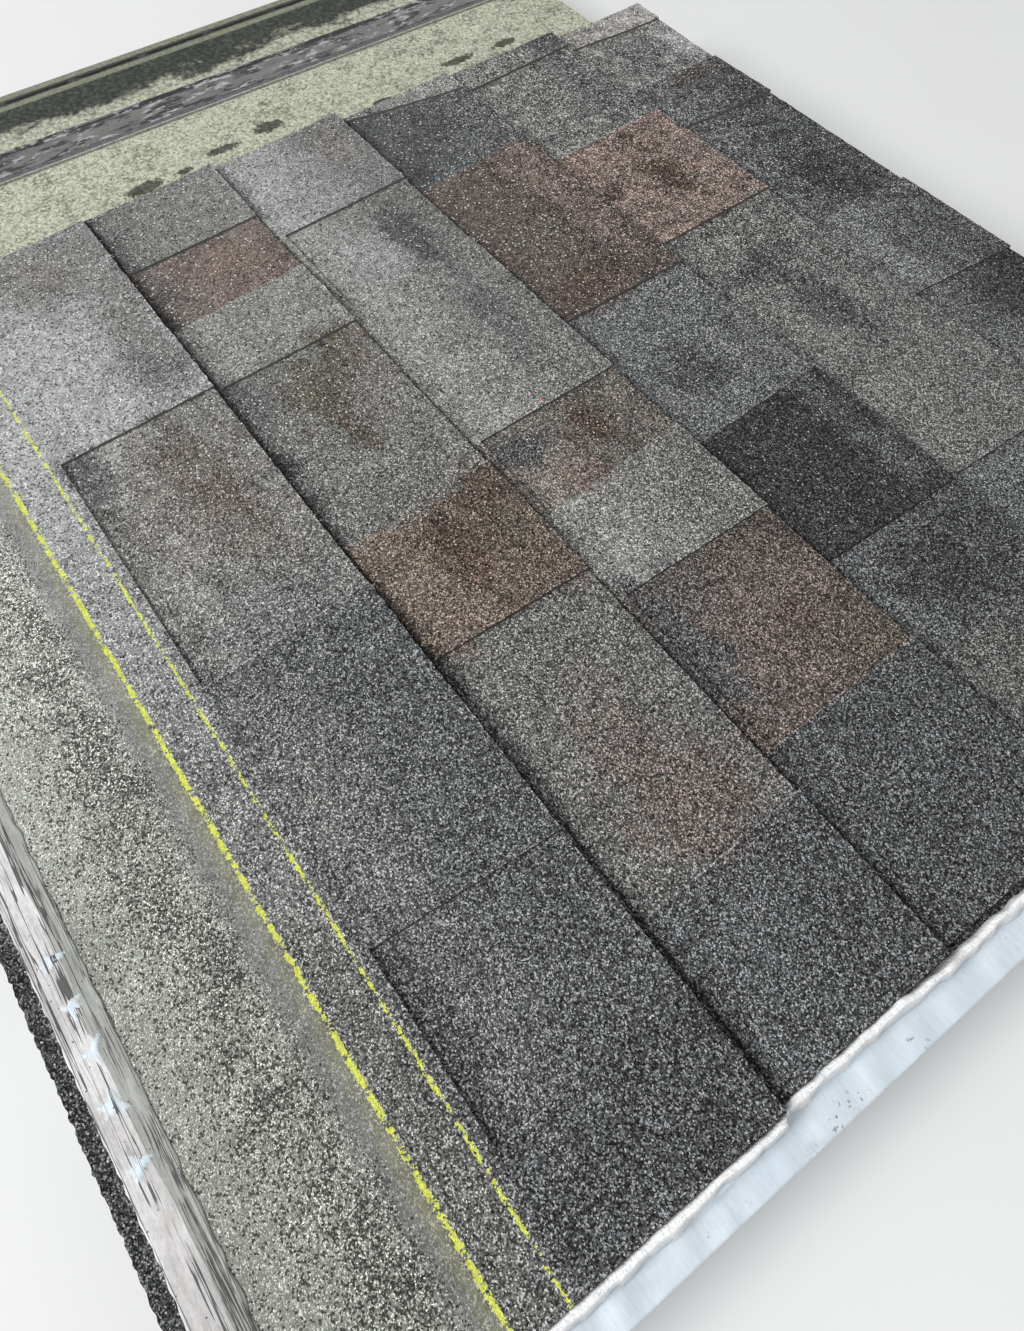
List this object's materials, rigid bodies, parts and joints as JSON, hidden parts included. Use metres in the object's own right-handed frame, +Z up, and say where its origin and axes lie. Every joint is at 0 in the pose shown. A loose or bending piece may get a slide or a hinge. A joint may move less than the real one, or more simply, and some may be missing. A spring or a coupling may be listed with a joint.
{
  "type": "asphalt shingle bundles with laid courses",
  "caption": "Laminated asphalt shingle bundles side by side, some in white film and one opened, with shingles laid over them in overlapping courses.",
  "frame": {"origin": "middle of the underside of the whole row of bundles", "axes": "+X across the bundles, towards the outer film-wrapped one, along the laid shingles; +Y down the slope of the courses, along the bundles; +Z up"},
  "size_m": [1.3645, 1.071, 0.0946],
  "materials": {
    "granules": "mineral granules pressed into asphalt, rough and matt",
    "asphalt": "asphalt-coated glass mat with a sanded back, matt black",
    "sanded_back": "fine pale sand pressed into the asphalt back",
    "film": "white polyethylene film, satin, shrunk on",
    "tape": "thin release film, creased, half gloss",
    "sealant": "soft asphalt adhesive, black, half gloss"
  },
  "bodies": {
    "root": {"course_1_top_ply": "granules", "course_1_backing_ply": "granules", "course_2_top_ply": "granules", "course_2_backing_ply": "granules", "course_3_top_ply": "granules", "course_3_backing_ply": "granules", "course_4_top_ply": "granules", "course_4_backing_ply": "granules", "course_5_top_ply": "granules", "course_5_backing_ply": "granules", "course_6_top_ply": "granules", "course_6_backing_ply": "granules", "course_1_release_tape": "tape", "near_bundle_wrap": "film", "near_bundle_stack": "asphalt", "second_bundle_wrap": "film", "second_bundle_stack": "asphalt", "third_bundle_wrap": "film", "third_bundle_stack": "asphalt", "open_stack_top_plies": "asphalt", "open_stack_backing_plies": "asphalt", "back_shingle_top_ply": "sanded_back", "back_shingle_backing_ply": "asphalt", "back_shingle_film_band": "tape", "back_shingle_sealant": "sealant"}
  },
  "joints": []
}
